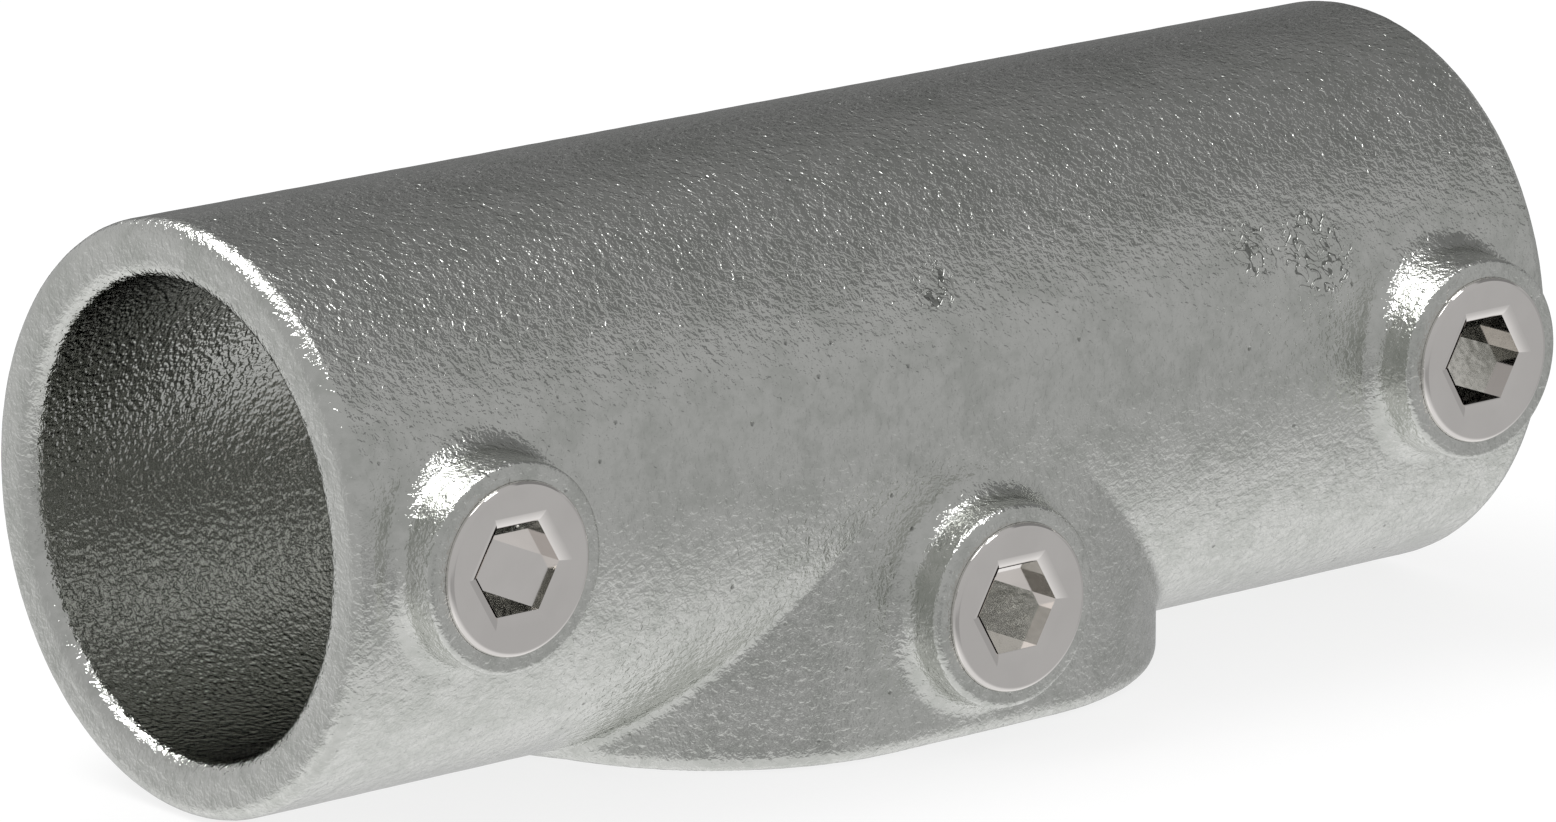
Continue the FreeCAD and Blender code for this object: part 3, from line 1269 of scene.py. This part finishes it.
@dataclass
class Studio:
    """A white floor, a grey light tent with one dark side, and a softbox up behind."""

    floor_z: float
    azimuth: float = -40.011
    elevation: float = 14.418
    distance: float = 999.95
    slide_right: float = -1.250
    slide_up: float = -1.590
    focal_pixels: float = 10753.25
    sensor: float = 36.0
    clip_start_m: float = 0.05
    floor_half: float = 4000.0
    floor_grey: float = 0.9
    floor_glow: float = 1.05
    floor_glow_share: float = 0.75
    room_light: float = 0.75
    tent_radius_m: float = 3.0
    softbox: Card = Card(-144.0, 62.0, 20.0, 15.0, 0.0, 4.4)
    softbox_distance_m: float = 0.9
    cards: tuple[Card, ...] = (
        Card(104.0, 38.0, 36.0, 23.0, 8.0, 0.47),
        Card(140.0, 5.0, 18.0, 19.0, 8.0, 0.38),
        Card(-175.0, -4.0, 50.0, 24.0, 16.0, 1.22),
        Card(-120.0, -45.0, 50.0, 22.0, 16.0, 1.15),
        Card(140.0, -45.0, 60.0, 26.0, 20.0, 1.18),
        Card(-20.0, -18.0, 34.0, 10.0, 14.0, 0.76),
        Card(90.0, -10.0, 34.0, 16.0, 12.0, 0.82),
        Card(12.0, 81.0, 8.0, 7.0, 2.0, 12.0),
    )

    @staticmethod
    def towards(azimuth: float, elevation: float) -> Vector:
        """The direction at an azimuth, counted from -Y towards +X, and an elevation."""
        a, e = math.radians(azimuth), math.radians(elevation)
        return Vector((math.sin(a) * math.cos(e), -math.cos(a) * math.cos(e), math.sin(e)))

    def camera(self) -> None:
        """Sets up the camera that took the photograph."""
        back = self.towards(self.azimuth, self.elevation)
        right = (-back).cross(Vector((0, 0, 1))).normalized()
        up = right.cross(-back)
        spot = (back * self.distance + right * self.slide_right + up * self.slide_up) * MM
        data = bpy.data.cameras.new("camera")
        data.sensor_width = self.sensor
        data.lens = self.sensor * self.focal_pixels / PHOTO_WIDTH
        data.clip_start = self.clip_start_m
        camera = bpy.data.objects.new("camera", data)
        aim = Matrix((right, up, back)).transposed().to_4x4()
        camera.matrix_world = Matrix.Translation(spot) @ aim
        bpy.context.scene.collection.objects.link(camera)
        bpy.context.scene.camera = camera

    def floor(self) -> None:
        """Lays the white floor, which keeps a soft shadow under the fitting."""
        half, grey = self.floor_half, self.floor_grey
        corners = [(-half, -half), (half, -half), (half, half), (-half, half)]
        mesh = mesh_of("floor", [(x, y, self.floor_z) for x, y in corners], [(0, 1, 2, 3)])
        material, tree = new_material("white_floor")
        seen = add(tree, "ShaderNodeLightPath").outputs["Is Camera Ray"]
        paper = add(tree, "ShaderNodeBsdfDiffuse", {"Color": (grey, grey, grey, 1)})
        glow = add(tree, "ShaderNodeEmission", {"Color": (1, 1, 1, 1), "Strength": self.floor_glow})
        mixed = add(tree, "ShaderNodeMixShader", {
            0: math_node(tree, "MULTIPLY", seen, self.floor_glow_share), 1: paper.outputs[0],
            2: glow.outputs[0],
        })
        add(tree, "ShaderNodeOutputMaterial", {0: mixed.outputs[0]})
        mesh.materials.append(material)
        floor = new_object("floor", mesh)
        floor.visible_glossy = False

    def card_share(self, tree: NodeTree, way: NodeSocket, card: Card) -> NodeSocket:
        """How much of the tent's light comes from a direction, with one card hung in front.

        Args:
            tree: The tent's tree.
            way: The direction.
            card: The card.

        Returns:
            The card's strength on it, 1 off it, and a soft step between.
        """
        calc = partial(math_node, tree)
        ahead = self.towards(card.azimuth, card.elevation)
        side = ahead.cross(Vector((0, 0, 1))).normalized()
        over = side.cross(ahead)
        mask = 1.0
        for axis, half in ((side, card.half_width), (over, card.half_height)):
            parts = [vector_math(tree, "DOT_PRODUCT", way, a)["Value"] for a in (axis, ahead)]
            turn = calc("ABSOLUTE", calc("ARCTAN2", *parts))
            inner, outer = half - card.soft_edge / 2, half + card.soft_edge / 2
            mask = calc("MULTIPLY", mask, fading(
                tree, turn, math.radians(inner), math.radians(outer), interpolation_type="SMOOTHSTEP"))
        return calc("MULTIPLY_ADD", mask, card.strength - 1.0, 1.0)

    def tent(self) -> None:
        """Hangs the tent that the metal mirrors: grey above, white below, dark on one side."""
        form = bmesh.new()
        bmesh.ops.create_icosphere(form, subdivisions=5, radius=self.tent_radius_m)
        mesh = bpy.data.meshes.new("light_tent")
        form.to_mesh(mesh)
        form.free()
        material, tree = new_material("tent_cloth")
        place = add(tree, "ShaderNodeTexCoord").outputs["Object"]
        way = vector_math(tree, "NORMALIZE", place)[0]
        height = add(tree, "ShaderNodeSeparateXYZ", {0: way}).outputs[2]
        level = math_node(tree, "MULTIPLY_ADD", height, 0.5, 0.5)
        cloth = add(tree, "ShaderNodeValToRGB", {0: level})
        ramp(cloth, [(0.067, "DEDEDE"), (0.117, "DCDCDC"), (0.165, "CECECE"), (0.213, "C1C1C1"),
                     (0.258, "B6B6B6"), (0.329, "AFAFAF"), (0.50, "AFAFAF"), (0.75, "B1B1B1")],
             "LINEAR")
        shade = 1.0
        for card in self.cards:
            shade = math_node(tree, "MULTIPLY", shade, self.card_share(tree, way, card))
        glow = add(tree, "ShaderNodeEmission", {"Color": cloth.outputs[0], "Strength": shade})
        add(tree, "ShaderNodeOutputMaterial", {0: glow.outputs[0]})
        mesh.materials.append(material)
        tent = new_object("light_tent", mesh)
        for rays in ("camera", "diffuse", "shadow", "transmission"):
            setattr(tent, f"visible_{rays}", False)

    def lamp(self) -> None:
        """Puts the one bright softbox up behind the fitting's left shoulder."""
        box, away = self.softbox, self.softbox_distance_m
        data = bpy.data.lights.new("softbox", "AREA")
        data.shape = "RECTANGLE"
        data.size = 2 * away * math.tan(math.radians(box.half_width))
        data.size_y = 2 * away * math.tan(math.radians(box.half_height))
        data.energy = box.strength * math.pi * data.size * data.size_y
        lamp = bpy.data.objects.new("softbox", data)
        way = self.towards(box.azimuth, box.elevation)
        lamp.location = way * away
        lamp.rotation_euler = way.to_track_quat("Z", "Y").to_euler()
        lamp.visible_camera = False
        bpy.context.scene.collection.objects.link(lamp)

    def world(self) -> None:
        """Fills the rest of the room with white, which the camera and the metal see."""
        world = bpy.data.worlds.new("white_room")
        bpy.context.scene.world = world
        world.use_nodes = True
        tree = world.node_tree
        tree.nodes.clear()
        path = add(tree, "ShaderNodeLightPath").outputs
        seen = math_node(tree, "MAXIMUM", path["Is Camera Ray"], path["Is Glossy Ray"])
        seen = math_node(tree, "MAXIMUM", seen, path["Is Transmission Ray"])
        strength = add(tree, "ShaderNodeMapRange", {0: seen, 3: self.room_light, 4: 1.0}).outputs[0]
        room = add(tree, "ShaderNodeBackground", {"Color": (1, 1, 1, 1), "Strength": strength})
        add(tree, "ShaderNodeOutputWorld", {0: room.outputs[0]})

    def build(self) -> None:
        """Builds the whole studio."""
        self.camera()
        self.floor()
        self.tent()
        self.lamp()
        self.world()
        bpy.context.scene.view_settings.view_transform = "Standard"


def box_mm(node: str) -> tuple[Vector, Vector]:
    """A node's lowest and highest corners, in millimetres."""
    low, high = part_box(node)
    return low / MM, high / MM


def report(obj: Object) -> None:
    """Logs one finished piece and how many triangles it has."""
    faces = sum(len(p.vertices) - 2 for p in obj.data.polygons)
    log.info("%s: %d triangles", obj.name, faces)


def main() -> None:
    """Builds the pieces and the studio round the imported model."""
    logging.basicConfig(level=logging.INFO, format="%(name)s %(message)s")
    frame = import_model()
    mounts = {mount["name"]: mount for mount in frame["record"]["mounts"]}
    low, high = box_mm(CAD_BODY)
    thread = Thread()
    zinc = GalvanisedIron().material()
    bare = TappedIron().material()
    steel = PlatedSteel().material()
    screws = []
    for spot in ("left", "upright", "right"):
        near, far = box_mm(f"{spot}_set_screw")
        middle, radius = (near + far) / 2, (far.x - near.x) / 2
        screws.append(SetScrew(spot, middle.x, middle.z, radius, near.y, far.y, thread))
    casting = CastBody(
        sleeve_radius=high.z, half_length=high.x,
        bore_radius=mounts["rail_bore"]["dims"]["r_mm"],
        mouth_z=low.z, boss_face_y=low.y,
        screw_places=[(screw.x, screw.z) for screw in screws], thread=thread)
    report(casting.build(zinc, bare))
    for screw in screws:
        report(screw.build(steel, low.y))
    Studio(floor_z=low.z).build()


if __name__ == "__main__":
    main()
